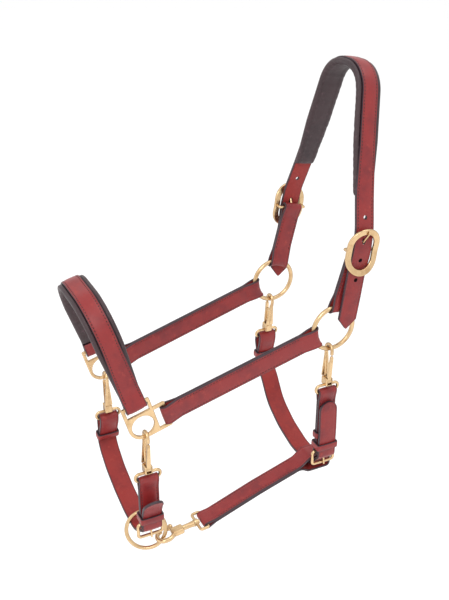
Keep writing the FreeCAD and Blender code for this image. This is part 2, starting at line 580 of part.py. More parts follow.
def rounded_tip(strap, y, half, top):
    """Rounds the free end of a strap that stands upright at the given half width."""
    r = STRAP_WIDTH / 2
    block = box((half - 12, y - r - 1, top - r), (half + 8, y + r + 1, top + 1))
    keep = Part.makeCylinder(r, 30, V(half - 15, y, top - r), X_AXIS)
    return strap.cut(block.cut(keep)).Solids[0]


def chin():
    """Chin strap, its near chape with buckle, and the snaps that hang it from the squares."""
    y = HOLE_Y + CHIN_BACK
    grip = HOLE_Z - math.sqrt(HOOKED ** 2 - CHIN_BACK ** 2)
    eye_z = grip - SNAP_REACH
    half = SQUARE_HALF_GAP
    near = frame(V(half, y, grip), X_AXIS, Y_AXIS)
    far = frame(V(-half, y, grip), V(-1, 0, 0), V(0, -1, 0))
    for side, place in (("left", near), ("right", far)):
        for suffix, shape in scissor_snap(place).items():
            parts[side + "_chin_snap" + suffix] = shape
    parts["chin_chape"] = near_chape(half, y, eye_z, CHIN_HEEL)
    parts["chin_buckle"] = strap_buckle(half, y, CHIN_HEEL)
    parts["chin_buckle_tongue"] = tongue((half, CHIN_HEEL), tongue_tip(half, CHIN_HEEL), xz_plane(y))
    bar = (-half, eye_z)
    keeper_at = (bar[0] - 7.5, bar[1] - 26.0)
    fold, bends = far_fold(bar, keeper_at)
    heel_x = over_heel(half)
    low = CHIN_HEEL - 15.5
    sling = [(-76.5, -129.6), (-55.0, -146.1), (-24.0, -158.6), (10.0, -167.1), (45.0, -168.3)]
    route = fold + [(x, HOLE_Z + z) for x, z in sling]
    route += [(62.5, low), (heel_x, CHIN_HEEL - 4.5), (heel_x, CHIN_HEEL + 18.0),
              (heel_x + CHIN_CURL * 0.3, CHIN_HEEL + 30.0), (heel_x + CHIN_CURL, CHIN_TAIL_TOP)]
    bends = bends + [20.0, 60.0, 60.0, 80.0, 30.0, 10.0, 6.0, 20.0, 20.0]
    strap = ribbon(route, bends, -SINGLE / 2, SINGLE / 2, STRAP_WIDTH, xz_plane(y))
    parts["chin_strap"] = rounded_tip(punched(strap, half, y, CHIN_HEEL), y,
                                      heel_x + CHIN_CURL, CHIN_TAIL_TOP)
    parts["chin_keeper"] = heel_keeper(half, y, CHIN_HEEL)
    up = V(bar[0] - keeper_at[0], 0, bar[1] - keeper_at[1])
    up.normalize()
    parts["chin_strap_keeper"] = keeper(V(keeper_at[0], y, keeper_at[1]) - up * FOLD_KEEPER, up,
                                        up.cross(Y_AXIS), 2 * (SINGLE + FIT))


# ---------------------------------------------------------------- jaw strap, lead ring and jaw snap
YAW, TILT, HOOKED_AT = math.radians(LEAD_YAW), math.radians(LEAD_TILT), math.radians(LEAD_HOOKED)
LEAD_REAR = V(math.sin(YAW), math.cos(YAW), 0)
LEAD_UP = V(-math.sin(TILT) * math.cos(YAW), math.sin(TILT) * math.sin(YAW), math.cos(TILT))
LEAD_NORMAL = LEAD_REAR.cross(LEAD_UP)
TO_HOOK = LEAD_REAR * math.cos(HOOKED_AT) - LEAD_UP * math.sin(HOOKED_AT)
LEAD_AT = V(JAW_HALF_GAP - LEAD_RADIUS * TO_HOOK.x, HOLE_Y + LEAD_CENTRE[0], HOLE_Z + LEAD_CENTRE[1])
HOOK_AT = LEAD_AT + TO_HOOK * LEAD_RADIUS
LOOP_AT = V(JAW_HALF_GAP, THROAT_Y, THROAT_HEEL - 26.2)
JAW_PIVOT = V(17.5, 3.2, 0)


def jaw_strap():
    """Doubled strap: a flat loop round the throat strap behind, folded round the swivel eye in front."""
    place = frame(V(JAW_HALF_GAP, 0, 0), Y_AXIS, Z_AXIS)
    y, z = LOOP_AT.y, LOOP_AT.z
    eye = V(0, HOOK_AT.y + JAW_SNAP_LENGTH, HOOK_AT.z + JAW_SNAP_RISE)
    reach, tall = STRAP_WIDTH / 2 + 4.0, JAW_LOOP
    layer = DOUBLE / 2
    front = (y - reach - 9.0, z - 2.0)
    loop = [front, (y - reach + 2, z - tall / 2), (y + reach, z - tall / 2), (y + reach, z + tall / 2),
            (y - reach + 4, z + tall / 2), (front[0], front[1] + layer)]
    collar = ribbon(loop, [8.0, 4.4, 4.4, 8.0], -layer / 2, layer / 2, STRAP_WIDTH, place)
    sag = [(front[0] + 1.5, front[1] + layer / 2), (-89.5, -224.0), (eye.y, eye.z)]
    body = ribbon(sag, [200.0], -DOUBLE / 2, DOUBLE / 2, STRAP_WIDTH, place)
    ring = placed(Part.makeCylinder(EYE_WIRE + FIT + layer, STRAP_WIDTH, V(eye.y, eye.z, -STRAP_WIDTH / 2)),
                  place)
    hole = placed(Part.makeCylinder(EYE_WIRE + FIT, STRAP_WIDTH, V(eye.y, eye.z, -STRAP_WIDTH / 2)), place)
    parts["jaw_strap"] = fused([body, collar, ring]).cut(hole).Solids[0]
    return eye


def jaw_snap(eye):
    """Swivel eye, and the trigger snap that turns in it: local x back along the snap, z up."""
    bar = V(JAW_HALF_GAP, eye.y, eye.z)
    back = (bar - HOOK_AT).normalize()
    place = frame(HOOK_AT, back, X_AXIS * -1)
    length = (bar - HOOK_AT).Length
    collar = length - 11.0
    eye_loop = wire_loop(11.0, SNAP_EYE_WIDTH, 3.0, EYE_WIRE,
                         FreeCAD.Placement(V(length - 5.5, 0, 0), FreeCAD.Rotation()))
    hub = Part.makeCylinder(4.6, 5.0, V(collar - 3.0, 0, 0), X_AXIS)
    stem_r = 1.8
    parts["jaw_snap_eye"] = placed(fused([eye_loop, hub]).cut(
        Part.makeCylinder(stem_r + 0.1, 8.0, V(collar - 4.0, 0, 0), X_AXIS)).Solids[0], place)
    flat = FreeCAD.Placement()
    neck = V(collar - 3.0 - CLEAR, 0, 0)
    stem = rod(neck, V(collar + 2.0 + CLEAR, 0, 0), stem_r)
    head = Part.makeCylinder(2.9, 1.6, V(collar + 2.0 + CLEAR, 0, 0), X_AXIS)
    shank = Part.makeCone(3.5, 4.2, 6.0, neck - V(6, 0, 0), X_AXIS)
    grip = rod(V(22, 0, 0), neck - V(5.9, 0, 0), 3.5)
    r = JAW_HOOK
    route = [(24.0, 0.0), (15.0, -1.5), (6.0, -r), (-r, -r), (-r, r), (-1.0, r)]
    hook = bent_wire(route, [10.0, 10.0, r * 0.98, r * 0.98], JAW_WIRE, flat)
    cheek = box((10.0, -6.6, -3.9), (26.0, 6.0, 3.9))
    cheek = cheek.makeFillet(2.4, cheek.Edges)
    pivot = JAW_PIVOT
    slot = box((8, 0.4, -1.9), (22.8, 9, 1.9))
    pin_r = 1.1
    body = fused([hook, ball(V(-1.0, r, 0), JAW_WIRE), cheek, grip, shank, stem, head])
    body = body.cut([slot, Part.makeCylinder(pin_r, 9, V(pivot.x, pivot.y, -4.5))]).Solids[0]
    parts["jaw_snap"] = placed(body, place)
    parts["jaw_snap_pin"] = placed(Part.makeCylinder(pin_r, 7.8, V(pivot.x, pivot.y, -3.9)), place)
    tip = V(-1.0 + 2 * JAW_WIRE + 0.2, r + 0.2, 0)
    knob = V(12.5, r + 2.2, 0)
    lever = fused([rod(pivot, tip, 1.6), ball(tip, 1.6), Part.makeCylinder(2.4, 3.2, V(pivot.x, pivot.y, -1.6)),
                   rod(V(12.0, 4.6, 0), knob, 1.7), ball(knob, 3.4)])
    parts["jaw_snap_gate"] = placed(
        lever.cut(Part.makeCylinder(pin_r + 0.08, 6, V(pivot.x, pivot.y, -3))).Solids[0], place)


def lead_ring():
    return Part.makeTorus(LEAD_RADIUS, LEAD_WIRE, LEAD_AT, LEAD_NORMAL)


# ---------------------------------------------------------------- the whole headcollar
def build():
    for name, maker in (("cheek_ring", cheek_ring), ("square", square), ("cheek_strap", cheek_strap),
                        ("headpiece_buckle", oval_buckle), ("buckle_chape", buckle_chape)):
        piece = maker()
        parts["left_" + name] = piece
        parts["right_" + name] = mirrored(piece)
    pin = tongue(*tongue_line(), HEAD_PLACE)
    parts["left_headpiece_buckle_tongue"] = pin
    parts["right_headpiece_buckle_tongue"] = mirrored(pin)
    headpiece()
    noseband()
    throat()
    chin()
    jaw_snap(jaw_strap())
    parts["lead_ring"] = lead_ring()


build()
os.makedirs("parts", exist_ok=True)
for node, shape in sorted(parts.items()):
    shape = shape.copy()
    shape.translate(POLL * -1)
    if not shape.isValid() or len(shape.Solids) != 1:
        print("check", node, "valid", shape.isValid(), "solids", len(shape.Solids))
    shape.exportStep("parts/" + node + ".step")
print(len(parts), "nodes")
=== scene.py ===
import math

import bmesh
import bpy
from mathutils import Matrix, Vector, noise


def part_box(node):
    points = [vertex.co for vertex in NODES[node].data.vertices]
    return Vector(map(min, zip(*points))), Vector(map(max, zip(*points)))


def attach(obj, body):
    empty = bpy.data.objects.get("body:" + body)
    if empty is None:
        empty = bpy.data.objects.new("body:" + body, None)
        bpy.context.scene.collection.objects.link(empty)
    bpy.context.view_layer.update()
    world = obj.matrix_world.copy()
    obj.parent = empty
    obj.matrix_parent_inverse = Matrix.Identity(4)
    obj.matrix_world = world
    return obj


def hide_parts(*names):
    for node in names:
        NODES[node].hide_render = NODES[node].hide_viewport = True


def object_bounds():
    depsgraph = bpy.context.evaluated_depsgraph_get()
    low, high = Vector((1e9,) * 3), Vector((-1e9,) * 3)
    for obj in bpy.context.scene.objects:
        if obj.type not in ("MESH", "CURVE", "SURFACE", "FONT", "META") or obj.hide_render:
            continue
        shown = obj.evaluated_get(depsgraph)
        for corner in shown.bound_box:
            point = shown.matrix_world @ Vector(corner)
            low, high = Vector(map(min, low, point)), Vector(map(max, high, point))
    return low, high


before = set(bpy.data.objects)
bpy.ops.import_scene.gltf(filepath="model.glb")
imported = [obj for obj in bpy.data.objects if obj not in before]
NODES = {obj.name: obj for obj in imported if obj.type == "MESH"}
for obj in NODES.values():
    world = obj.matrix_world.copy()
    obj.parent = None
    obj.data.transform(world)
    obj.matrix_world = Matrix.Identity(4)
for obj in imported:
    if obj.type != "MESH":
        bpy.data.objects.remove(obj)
CAD_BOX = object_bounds()

# ---------------------------------------------------------------- sizes, in metres
MM = 0.001
STRAP_HALF = 12.5 * MM
SINGLE = 3.4 * MM
DOUBLE = 6.0 * MM
LAYER = 2.8 * MM
LINING_HALF = 16.0 * MM
LINING_THICKNESS = 6.0 * MM
OVER_PADDING = 0.83              # share of a strap's width that shows where it lies on a lining
TAPER = 60.0 * MM                # length over which a lining narrows towards each end
EDGE_ROUND = 0.7 * MM
STITCH_INSET = 3.0 * MM
STITCH_PITCH = 3.7 * MM
STITCH_BEAD = (1.35 * MM, 0.55 * MM, 0.42 * MM)      # half of a stitch's length, width and height
STITCH_SLANT = 0.12
STITCH_SUNK = 0.12 * MM
SEAM = (STITCH_INSET - STRAP_HALF, STRAP_HALF - STITCH_INSET)
WRINKLE_DEPTH = 0.55 * MM
PUCKER_DEPTH = 0.18 * MM
LINING_END = 9.0 * MM            # length over which a lining's end is rounded
LAYER_GAP = 0.02 * MM            # half of the gap between the layers of a doubled strap
LAY_BEND = 14.0 * MM             # bend with which a layer leaves the other for an eye
CLEAR = 0.4 * MM
FIT = 0.25 * MM

RING_HALF_GAP = 75.0 * MM
RING_RADIUS = 27.5 * MM
RING_WIRE = 2.75 * MM
RING_SAG = RING_RADIUS - math.sqrt(RING_RADIUS ** 2 - STRAP_HALF ** 2)     # ring's curve under half a strap
SQUARE_HALF_GAP = 71.2 * MM
SQUARE_FOLD = 30.5 * MM
SQUARE_BAR = 4.0 * MM
SQUARE_EYE = SQUARE_BAR * 0.71 + FIT      # inside of a fold round a square's bar
CHEEK_REACH = 254.9 * MM
CHEEK_SLOPE = math.radians(15.8)
NOSE_HEIGHT = 155.5 * MM
NOSE_TOP_HALF = 58.0 * MM
NOSE_BEND = 48.0 * MM
NOSE_LINING_START = 46.0 * MM
NOSE_SEWN_FROM = 40.0 * MM

HEAD_LEAN = math.radians(8.5)
HEAD_BACK = 11.4 * MM
HEAD_TOP = 302.5 * MM
HEAD_TOP_HALF = 34.5 * MM
HEAD_BEND = 38.0 * MM
HEAD_SIDE = (68.8 * MM, 162.0 * MM)
HEAD_TIP = 1.0 * MM
HEAD_SEWN_FROM = 125.0 * MM
POINT_LENGTH = 12.0 * MM
BAR_HALF_WIDTH = 77.0 * MM
BAR_HEIGHT = 100.0 * MM
BAR_RADIUS = 2.0 * MM
OVAL_END = 25.25 * MM
PUNCH_RADIUS = 2.5 * MM
PUNCH_PITCH = 25.0 * MM
PUNCH_RISE = 14.0 * MM
PUNCHES = (-2, -1, 1)            # the free holes, in pitches from a place PUNCH_RISE above the bar

SNAP_REACH = 61.0 * MM
EYE_WIRE = 1.9 * MM
BUCKLE_HEIGHT = 19.0 * MM
KEEPER_LENGTH = 9.0 * MM
KEEPER_LEATHER = 1.8 * MM
FOLD_KEEPER = 5.5 * MM
KEEPER_FLARE = 1.8 * MM          # room inside a heel keeper for the chape's swell round the bar
HEEL_KEEPER_RISE = 11.0 * MM
LOOSE_KEEPER_RISE = 27.0 * MM
HEEL_DROP = 15.5 * MM            # how far a strap dips below its buckle's bar
THROAT_Y = -3.5 * MM
THROAT_HEEL = -177.0 * MM
THROAT_TAIL_TOP = -101.0 * MM
THROAT_SNAP_LEAN = math.radians(9.0)
CHIN_BACK = 2.8 * MM
CHIN_HEEL = -210.0 * MM
CHIN_TAIL_TOP = -165.0 * MM
CHIN_CURL = 14.0 * MM
SQUARE_GRIP = 15.5 * MM
JAW_HALF_GAP = 54.0 * MM
JAW_DROP = 26.2 * MM
JAW_REACH = 4.0 * MM
JAW_LOOP = 20.0 * MM
JAW_SAG = Vector((-89.5 * MM, -224 * MM))

X_AXIS, Y_AXIS, Z_AXIS = Vector((1, 0, 0)), Vector((0, 1, 0)), Vector((0, 0, 1))
CHEEK_DIR = Vector((0, math.cos(CHEEK_SLOPE), math.sin(CHEEK_SLOPE)))
BAND_DIR = Vector((0, -math.sin(CHEEK_SLOPE), math.cos(CHEEK_SLOPE)))
HEAD_DIR = Vector((0, math.sin(HEAD_LEAN), math.cos(HEAD_LEAN)))


def middle(node):
    """Centre of a node's box."""
    low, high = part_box(node)
    return (low + high) / 2


RING_LINE = (middle("left_cheek_ring") + middle("right_cheek_ring")) / 2
HOLE = RING_LINE - CHEEK_DIR * CHEEK_REACH


# ---------------------------------------------------------------- materials
def put(tree, kind, **values):
    """A shader node with its settings and the values of its inputs."""
    node = tree.nodes.new("ShaderNode" + kind)
    for key, value in values.items():
        if hasattr(node, key):
            setattr(node, key, value)
        else:
            node.inputs[key.replace("_", " ")].default_value = value
    return node


def group_of(name, inputs, outputs):
    """An empty shader node group with named sockets."""
    tree = bpy.data.node_groups.new(name, "ShaderNodeTree")
    for label, kind in inputs:
        tree.interface.new_socket(label, in_out="INPUT", socket_type="NodeSocket" + kind)
    for label, kind in outputs:
        tree.interface.new_socket(label, in_out="OUTPUT", socket_type="NodeSocket" + kind)
    return tree, tree.nodes.new("NodeGroupInput"), tree.nodes.new("NodeGroupOutput")


def ramp(tree, low, high, low_value=0.0, high_value=1.0):
    """A map range node between two input levels."""
    node = tree.nodes.new("ShaderNodeMapRange")
    node.interpolation_type = "SMOOTHSTEP"
    for index, value in enumerate((low, high, low_value, high_value)):
        node.inputs[index + 1].default_value = value
    return node


def mixed(tree, factor, a, b):
    """Mixes two colours; each is a socket or a plain colour."""
    node = tree.nodes.new("ShaderNodeMix")
    node.data_type = "RGBA"
    for socket, value in ((node.inputs[0], factor), (node.inputs[6], a), (node.inputs[7], b)):
        if isinstance(value, bpy.types.NodeSocket):
            tree.links.new(value, socket)
        else:
            socket.default_value = value
    return node.outputs[2]


def colour(red, green, blue):
    """A linear colour from screen values of 0 to 255."""
    channels = [c / 255 for c in (red, green, blue)]
    return tuple(c / 12.92 if c < 0.04045 else ((c + 0.055) / 1.055) ** 2.4 for c in channels) + (1.0,)


def leather_group():
    """Grain, mottling and worn high spots that every leather shares."""
    tree, given, out = group_of(
        "leather_hide",
        [("Colour", "Color"), ("Dark", "Color"), ("Light", "Color"), ("Grain", "Float"), ("Gloss", "Float")],
        [("Colour", "Color"), ("Roughness", "Float"), ("Normal", "Vector")])
    link = tree.links.new
    place = put(tree, "TexCoord")
    mottle = put(tree, "TexNoise", Scale=34.0, Detail=5.0, Roughness=0.6)
    streak = put(tree, "TexNoise", Scale=140.0, Detail=3.0, Roughness=0.6)
    pores = put(tree, "TexVoronoi", Scale=620.0, feature="DISTANCE_TO_EDGE")
    fine = put(tree, "TexNoise", Scale=1500.0, Detail=3.0, Roughness=0.7)
    for texture in (mottle, streak, pores, fine):
        link(place.outputs["Object"], texture.inputs["Vector"])
    dark = ramp(tree, 0.42, 0.72, 0.0, 0.6)
    link(mottle.outputs["Fac"], dark.inputs[0])
    light = ramp(tree, 0.56, 0.78, 0.0, 0.55)
    link(streak.outputs["Fac"], light.inputs[0])
    base = mixed(tree, dark.outputs[0], given.outputs["Colour"], given.outputs["Dark"])
    worn = mixed(tree, light.outputs[0], base, given.outputs["Light"])
    pit = ramp(tree, 0.0, 0.12)
    link(pores.outputs["Distance"], pit.inputs[0])
    shade = put(tree, "Math", operation="MULTIPLY_ADD")
    link(pit.outputs[0], shade.inputs[0])
    shade.inputs[1].default_value = -0.22
    shade.inputs[2].default_value = 0.22
    final = mixed(tree, shade.outputs[0], worn, given.outputs["Dark"])
    link(final, out.inputs["Colour"])
    rough = put(tree, "Math", operation="MULTIPLY_ADD")
    link(streak.outputs["Fac"], rough.inputs[0])
    rough.inputs[1].default_value = 0.22
    link(given.outputs["Gloss"], rough.inputs[2])
    link(rough.outputs[0], out.inputs["Roughness"])
    height = put(tree, "Math", operation="ADD")
    link(pit.outputs[0], height.inputs[0])
    link(fine.outputs["Fac"], height.inputs[1])
    bump = put(tree, "Bump", Distance=0.00012)
    link(given.outputs["Grain"], bump.inputs["Strength"])
    link(height.outputs[0], bump.inputs["Height"])
    link(bump.outputs["Normal"], out.inputs["Normal"])
    return tree


def border_group():
    """Darkens a strap towards its cut edges, from the across value kept in its UV map."""
    tree, given, out = group_of(
        "strap_border", [("Colour", "Color"), ("Edge", "Color")], [("Colour", "Color")])
    link = tree.links.new
    uv = put(tree, "UVMap")
    split = put(tree, "SeparateXYZ")
    link(uv.outputs["UV"], split.inputs[0])
    away = put(tree, "Math", operation="ABSOLUTE")
    link(split.outputs["Y"], away.inputs[0])
    near = ramp(tree, STRAP_HALF * 0.80, STRAP_HALF * 0.99, 0.0, 0.6)
    link(away.outputs[0], near.inputs[0])
    link(mixed(tree, near.outputs[0], given.outputs["Colour"], given.outputs["Edge"]), out.inputs["Colour"])
    return tree


def brass_group():
    """Polished brass with faint tarnish, casting unevenness and rubbed spots."""
    tree, given, out = group_of(
        "brass_surface", [("Colour", "Color"), ("Tarnish", "Color"), ("Unevenness", "Float")],
        [("Colour", "Color"), ("Roughness", "Float"), ("Normal", "Vector")])
    link = tree.links.new
    place = put(tree, "TexCoord")
    cloud = put(tree, "TexNoise", Scale=70.0, Detail=4.0, Roughness=0.6)
    cast = put(tree, "TexNoise", Scale=420.0, Detail=3.0, Roughness=0.55)
    for texture in (cloud, cast):
        link(place.outputs["Object"], texture.inputs["Vector"])
    dull = ramp(tree, 0.45, 0.8, 0.0, 0.7)
    link(cloud.outputs["Fac"], dull.inputs[0])
    worn = mixed(tree, dull.outputs[0], given.outputs["Colour"], given.outputs["Tarnish"])
    link(worn, out.inputs["Colour"])
    rough = ramp(tree, 0.3, 0.8, 0.22, 0.42)
    link(cloud.outputs["Fac"], rough.inputs[0])
    link(rough.outputs[0], out.inputs["Roughness"])
    bump = put(tree, "Bump", Distance=0.0003)
    link(given.outputs["Unevenness"], bump.inputs["Strength"])
    link(cast.outputs["Fac"], bump.inputs["Height"])
    link(bump.outputs["Normal"], out.inputs["Normal"])
    return tree


LEATHER_HIDE = leather_group()
STRAP_BORDER = border_group()
BRASS_SURFACE = brass_group()


def finish(name, **sockets):
    """A new material: its tree and its Principled shader with plain values set."""
    made = bpy.data.materials.new(name)
    made.use_nodes = True
    shader = made.node_tree.nodes["Principled BSDF"]
    for key, value in sockets.items():
        shader.inputs[key.replace("_", " ")].default_value = value
    return made, made.node_tree, shader


def place_group(tree, group, **values):
    """Places a shader node group in a material, with its own values."""
    node = tree.nodes.new("ShaderNodeGroup")
    node.node_tree = group
    for key, value in values.items():
        node.inputs[key].default_value = value
    return node


def leather(name, colour, dark, light, grain, gloss, edge=None, **sockets):
    """A leather with the shared hide; edge is the colour that a strap darkens to at its cut edges."""
    made, tree, shader = finish(name, **sockets)
    hide = place_group(tree, LEATHER_HIDE, Colour=colour, Dark=dark, Light=light, Grain=grain, Gloss=gloss)
    result = hide.outputs["Colour"]
    if edge:
        border = place_group(tree, STRAP_BORDER, Edge=edge)
        tree.links.new(result, border.inputs["Colour"])
        result = border.outputs["Colour"]
    tree.links.new(result, shader.inputs["Base Color"])
    tree.links.new(hide.outputs["Roughness"], shader.inputs["Roughness"])
    tree.links.new(hide.outputs["Normal"], shader.inputs["Normal"])
    return made


CHESTNUT = leather("chestnut_strap", colour(138, 40, 40), colour(98, 28, 36), colour(166, 62, 52),
                   0.35, 0.3, edge=colour(60, 24, 32), Specular_IOR_Level=0.42)
CHESTNUT_BACK = leather("chestnut_back", colour(146, 46, 42), colour(112, 35, 38), colour(168, 68, 58),
                        0.5, 0.45, edge=colour(60, 24, 32), Specular_IOR_Level=0.3)
EDGE_PAINT = leather("painted_edge", colour(58, 36, 44), colour(40, 26, 34), colour(88, 60, 70),
                     0.25, 0.38, Specular_IOR_Level=0.5)
PADDING_HIDE = leather("padding_hide", colour(58, 38, 42), colour(36, 25, 30), colour(98, 72, 80),
                       0.8, 0.36, Specular_IOR_Level=0.5)


def waxed_thread():
    """Thread whose twisted plies show as light and dark bands."""
    made, tree, shader = finish("waxed_thread", Base_Color=colour(52, 26, 28), Roughness=0.55)
    place = put(tree, "TexCoord")
    twist = put(tree, "TexWave", Scale=900.0, Distortion=1.5)
    tree.links.new(place.outputs["Object"], twist.inputs["Vector"])
    bands = mixed(tree, twist.outputs["Fac"], colour(26, 12, 15), colour(62, 34, 36))
    tree.links.new(bands, shader.inputs["Base Color"])
    return made


THREAD = waxed_thread()
# painted shade: the darker colour that brass and steel are mixed towards at their rims, where the surface
# turns away from sight
PAINTED_RIM_SHADE = colour(104, 72, 46)


def brass(name, shade, tarnish, unevenness):
    """A metal with painted shade: its colour darkens where its surface turns away from sight."""
    made, tree, shader = finish(name, Metallic=1.0)
    surface = place_group(tree, BRASS_SURFACE, Colour=shade, Tarnish=tarnish, Unevenness=unevenness)
    # painted shade: the colour darkens as the surface turns from the camera, standing in for the darker
    # reflection at the rims
    facing = put(tree, "LayerWeight", Blend=0.5)
    rim_shade_mask = ramp(tree, 0.3, 0.9, 0.0, 0.9)
    tree.links.new(facing.outputs["Facing"], rim_shade_mask.inputs[0])
    shaded = mixed(tree, rim_shade_mask.outputs[0], surface.outputs["Colour"], PAINTED_RIM_SHADE)
    tree.links.new(shaded, shader.inputs["Base Color"])
    tree.links.new(surface.outputs["Roughness"], shader.inputs["Roughness"])
    tree.links.new(surface.outputs["Normal"], shader.inputs["Normal"])
    return made


BRASS = brass("polished_brass", colour(222, 190, 146), colour(180, 142, 98), 0.1)
STEEL = brass("spring_steel", colour(190, 188, 184), colour(150, 148, 145), 0.08)


# ---------------------------------------------------------------- strap making
STEP = 1.5 * MM
ARC_STEP = math.radians(12.0)
TOP, EDGE, BACK = 0, 1, 2


def walk(points, bends):
    """Points and directions along straight runs that are joined by tangent arcs."""
    corners = [Vector(p) for p in points]
    ways = [(b - a).normalized() for a, b in zip(corners, corners[1:])]
    stops = [(corners[0], ways[0])]

    def straight(end, way):
        start = stops[-1][0]
        length = (end - start).length
        count = math.ceil(length / STEP - 1e-6)
        for k in range(1, count + 1):
            stops.append((start.lerp(end, k / count), way))

    for corner, before, after, bend in zip(corners[1:-1], ways, ways[1:], bends):
        turn = math.atan2(before.cross(after), before.dot(after))
        enter = corner - before * bend * math.tan(abs(turn) / 2)
        straight(enter, before)
        centre = enter + Vector((-before.y, before.x)) * math.copysign(bend, turn)
        count = max(2, math.ceil(abs(turn) * bend / STEP), math.ceil(abs(turn) / ARC_STEP))
        for k in range(1, count + 1):
            swing = Matrix.Rotation(turn * k / count, 2)
            stops.append((centre + swing @ (enter - centre), swing @ before))
    straight(corners[-1], ways[-1])
    return stops


def distances(stops):
    """Length along the route at each stop."""
    along = [0.0]
    for (a, _), (b, _) in zip(stops, stops[1:]):
        along.append(along[-1] + (b - a).length)
    return along


def band_section(half, thick, crown=0.0, grooved=True):
    """Outline of a strap: (across, outwards, face kind), with rounded edges and a pressed stitch line."""
    top, low, r = thick / 2, -thick / 2, EDGE_ROUND
    near = [(half - r, low), (half - 0.3 * r, low + 0.3 * r), (half, low + r), (half, top - r),
            (half - 0.3 * r, top - 0.3 * r), (half - r, top)]
    if grooved:
        groove = half - STITCH_INSET
        near += [(half - 1.5 * MM, top), (groove + 0.7 * MM, top), (groove, top - 0.28 * MM),
                 (groove - 0.7 * MM, top), (groove * 0.66, top + crown * 0.7)]
    outline = near + [(0.0, top + crown)] + [(-a, h) for a, h in reversed(near)]
    section = []
    for (a, h), (b, g) in zip(outline, outline[1:]):
        if abs(a + b) / 2 > half - 0.9 * r:
            kind = EDGE
        else:
            kind = TOP if h + g > 0 else BACK
        section.append((a, h, kind))
    return section + [(*outline[-1], BACK), (0.0, low, BACK)]


def object_from(bm, name, body, materials, sharp=40.0):
    """A finished piece from a bmesh, riding on a body."""
    mesh = bpy.data.meshes.new(name)
    bm.to_mesh(mesh)
    bm.free()
    for material in materials:
        mesh.materials.append(material)
    mesh.shade_smooth()
    mesh.set_sharp_from_angle(angle=math.radians(sharp))
    piece = bpy.data.objects.new(name, mesh)
    bpy.context.scene.collection.objects.link(piece)
    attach(piece, body)
    return piece


class Plane:
    """A flat route's plane: its origin and the directions of the route's two values."""

    def __init__(self, origin, first, second):
        self.origin = origin
        self.first = first.normalized()
        self.across = self.first.cross(second).normalized()
        self.second = self.across.cross(self.first)

    def at(self, point, across=0.0):
        return self.origin + self.first * point[0] + self.second * point[1] + self.across * across


def swept(stops, plane, section, shape=None, closed=False):
    """A bmesh of the section carried along the route, made from a grid."""
    along = distances(stops)
    rows, ring = len(stops) - 1, len(section)
    bm = bmesh.new()
    bmesh.ops.create_grid(bm, x_segments=rows, y_segments=ring, size=0.5)
    uv = bm.loops.layers.uv.new("UVMap")
    where = {}
    for vertex in bm.verts:
        i = round((vertex.co.x + 0.5) * rows)
        j = round((vertex.co.y + 0.5) * ring)
        where[vertex] = (i, j)
        across, out, _ = section[j % ring]
        point, way = stops[i]
        if shape:
            across, out, point = shape(along[i], along[-1], across, out, point)
        right = Vector((way.y, -way.x))
        vertex.co = plane.at(point + right * out, across)
    for face in bm.faces:
        spots = [where[v] for v in face.verts]
        low = min(j for _, j in spots)
        face.material_index = section[low % ring][2]
        for loop in face.loops:
            i, j = where[loop.vert]
            loop[uv].uv = (along[i], section[j % ring][0])
    bmesh.ops.remove_doubles(bm, verts=bm.verts, dist=1e-7)
    if not closed:
        rims = [e for e in bm.edges if e.is_boundary]
        caps = bmesh.ops.holes_fill(bm, edges=rims, sides=0)["faces"]
        for face in caps:
            face.material_index = EDGE
    bmesh.ops.recalc_face_normals(bm, faces=bm.faces)
    return bm


def stitches(name, stops, plane, body, height, spans, squeeze=None):
    """Two rows of thread along a route, each stitch a small rounded bead lying in the pressed line."""
    along = distances(stops)
    slant, size = Matrix.Rotation(STITCH_SLANT, 4, "Z"), Matrix.Diagonal((*STITCH_BEAD, 1.0))
    bm = bmesh.new()
    for start, end in spans:
        count = int((end - start) / STITCH_PITCH)
        k = 0
        for step in range(count):
            s = start + (step + 0.5) * (end - start) / count
            while k < len(along) - 2 and along[k + 1] < s:
                k += 1
            share = (s - along[k]) / (along[k + 1] - along[k])
            point = stops[k][0].lerp(stops[k + 1][0], share)
            way = stops[k][1].lerp(stops[k + 1][1], share).normalized()
            right = Vector((way.y, -way.x))
            tangent = plane.first * way.x + plane.second * way.y
            outwards = plane.first * right.x + plane.second * right.y
            turn = Matrix((tangent, plane.across, outwards)).transposed().to_4x4()
            width = squeeze(s, along[-1]) if squeeze else 1.0
            for across in SEAM:
                spot = plane.at(point + right * height, across * width)
                bmesh.ops.create_icosphere(bm, subdivisions=1, radius=1.0,
                                           matrix=Matrix.Translation(spot) @ turn @ slant @ size)
    return object_from(bm, name, body, [THREAD], sharp=180.0)


STRAP_FINISH = [CHESTNUT, EDGE_PAINT, CHESTNUT_BACK]


def strap_piece(node, body, stops, plane, section, shape=None, closed=False):
    """A strap swept along its route, standing for a node of the frame."""
    piece = object_from(swept(stops, plane, section, shape, closed), "made_" + node, body,
                        STRAP_FINISH)
    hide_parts(node)
    return piece


def doubled_route(length, thick, near_eye, far_eye):
    """Closed route of a strap folded round a bar at each end, its two layers lying together."""
    h = thick / 2 + LAYER_GAP
    a, b = near_eye + thick / 2, far_eye + thick / 2
    da, db = 3.4 * a, 3.4 * b
    points = [(length / 2, -h), (length - db, -h), (length - 0.3 * b, -b), (length + b, -b), (length + b, b),
              (length - 0.3 * b, b), (length - db, h), (da, h), (0.3 * a, a), (-a, a), (-a, -a),
              (0.3 * a, -a),
              (da, -h), (length / 2, -h)]
    near, far = [2 * a, a * 0.999, a * 0.999, 2 * a], [2 * b, b * 0.999, b * 0.999, 2 * b]
    bends = [LAY_BEND] + far + [LAY_BEND, LAY_BEND] + near + [LAY_BEND]
    return points, bends, da, db


